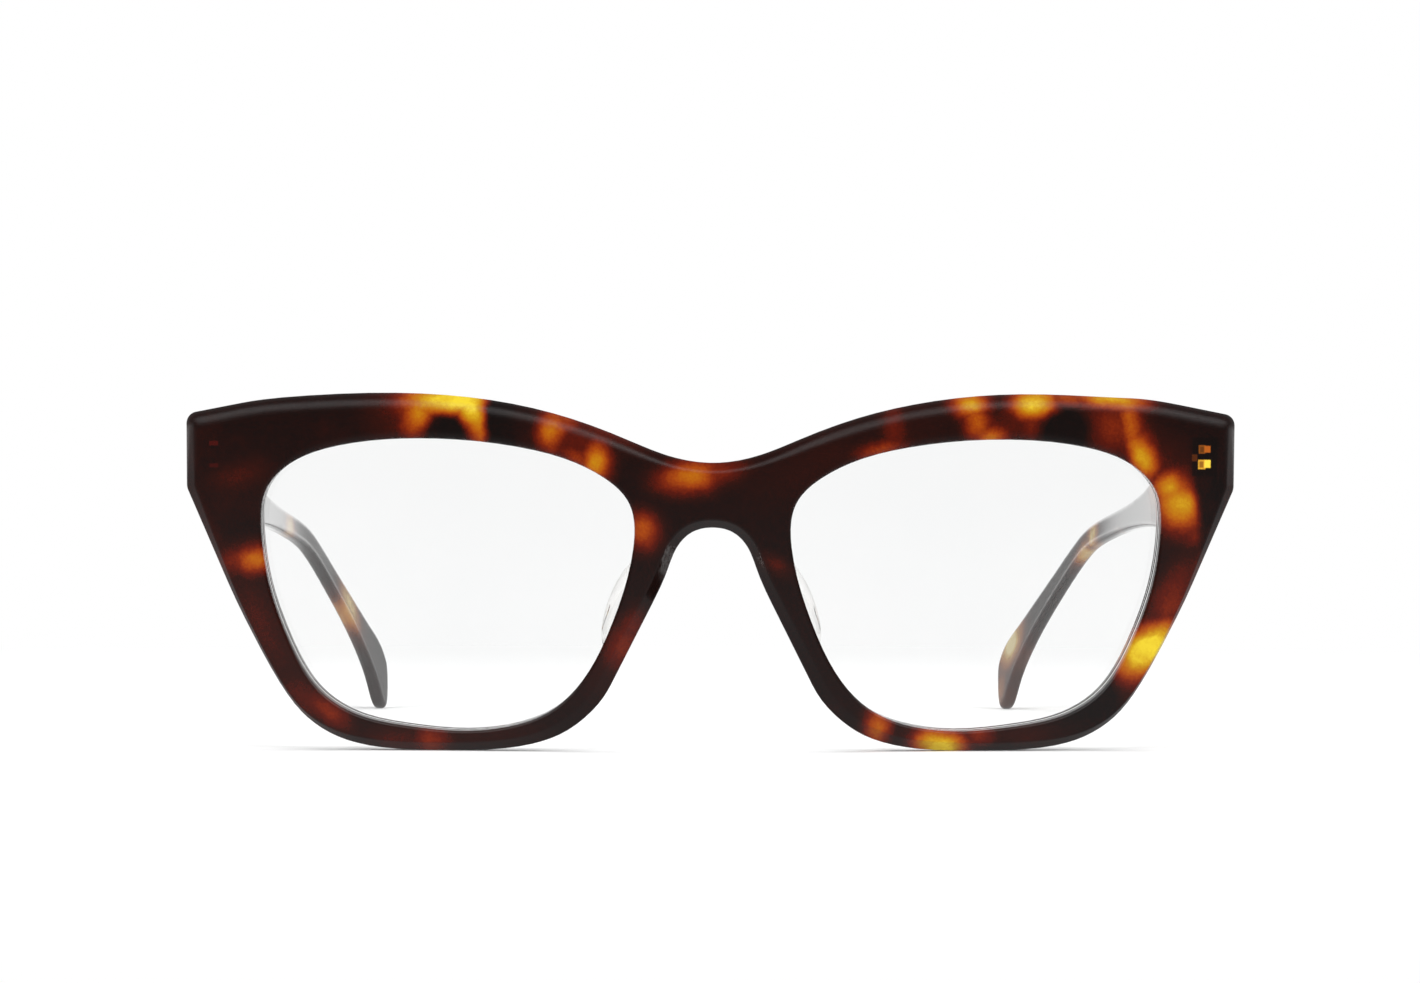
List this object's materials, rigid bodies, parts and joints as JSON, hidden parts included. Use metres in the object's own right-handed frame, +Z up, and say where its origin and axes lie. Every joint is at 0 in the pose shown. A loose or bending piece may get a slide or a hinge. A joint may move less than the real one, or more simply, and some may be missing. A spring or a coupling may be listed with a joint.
{
  "type": "eyeglasses frame",
  "caption": "Cat-eye acetate spectacle frame with clear lenses, bonded nose pads and folding temples on sunk barrel hinges, standing open.",
  "frame": {"origin": "middle of the footprint, on the surface that the open frame stands on", "axes": "+X towards the wearer's left, +Y from the front back along the temples, +Z up"},
  "size_m": [0.1422, 0.1482, 0.0483],
  "materials": {
    "front_acetate": "polished dark tortoiseshell acetate with amber patches",
    "pad_acetate": "clear polished acetate, bonded to the rim",
    "temple_acetate": "polished dark tortoiseshell acetate with amber patches",
    "lens": "clear polished demonstration lens",
    "hinge_metal": "gold-tone nickel silver hinge",
    "screw_steel": "stainless screw",
    "wire_metal": "nickel silver core wire inside the temple"
  },
  "bodies": {
    "front_body": {"front": "front_acetate", "lens_left": "lens", "nose_pad_left": "pad_acetate", "front_hinge_left": "hinge_metal", "hinge_screw_left": "screw_steel", "lens_right": "lens", "nose_pad_right": "pad_acetate", "front_hinge_right": "hinge_metal", "hinge_screw_right": "screw_steel"},
    "temple_left_body": {"temple_left": "temple_acetate", "temple_hinge_left": "hinge_metal", "core_wire_left": "wire_metal"},
    "temple_right_body": {"temple_right": "temple_acetate", "temple_hinge_right": "hinge_metal", "core_wire_right": "wire_metal"}
  },
  "joints": [
    {"name": "temple_left_fold", "type": "hinge", "parent": "front_body", "child": "temple_left_body", "pos_m": [0.06435, -0.0577, 0.03995], "axis": [0, 0, 1], "range_deg": [0, 79]},
    {"name": "temple_right_fold", "type": "hinge", "parent": "front_body", "child": "temple_right_body", "pos_m": [-0.06435, -0.0577, 0.03995], "axis": [0, 0, -1], "range_deg": [0, 84]}
  ]
}
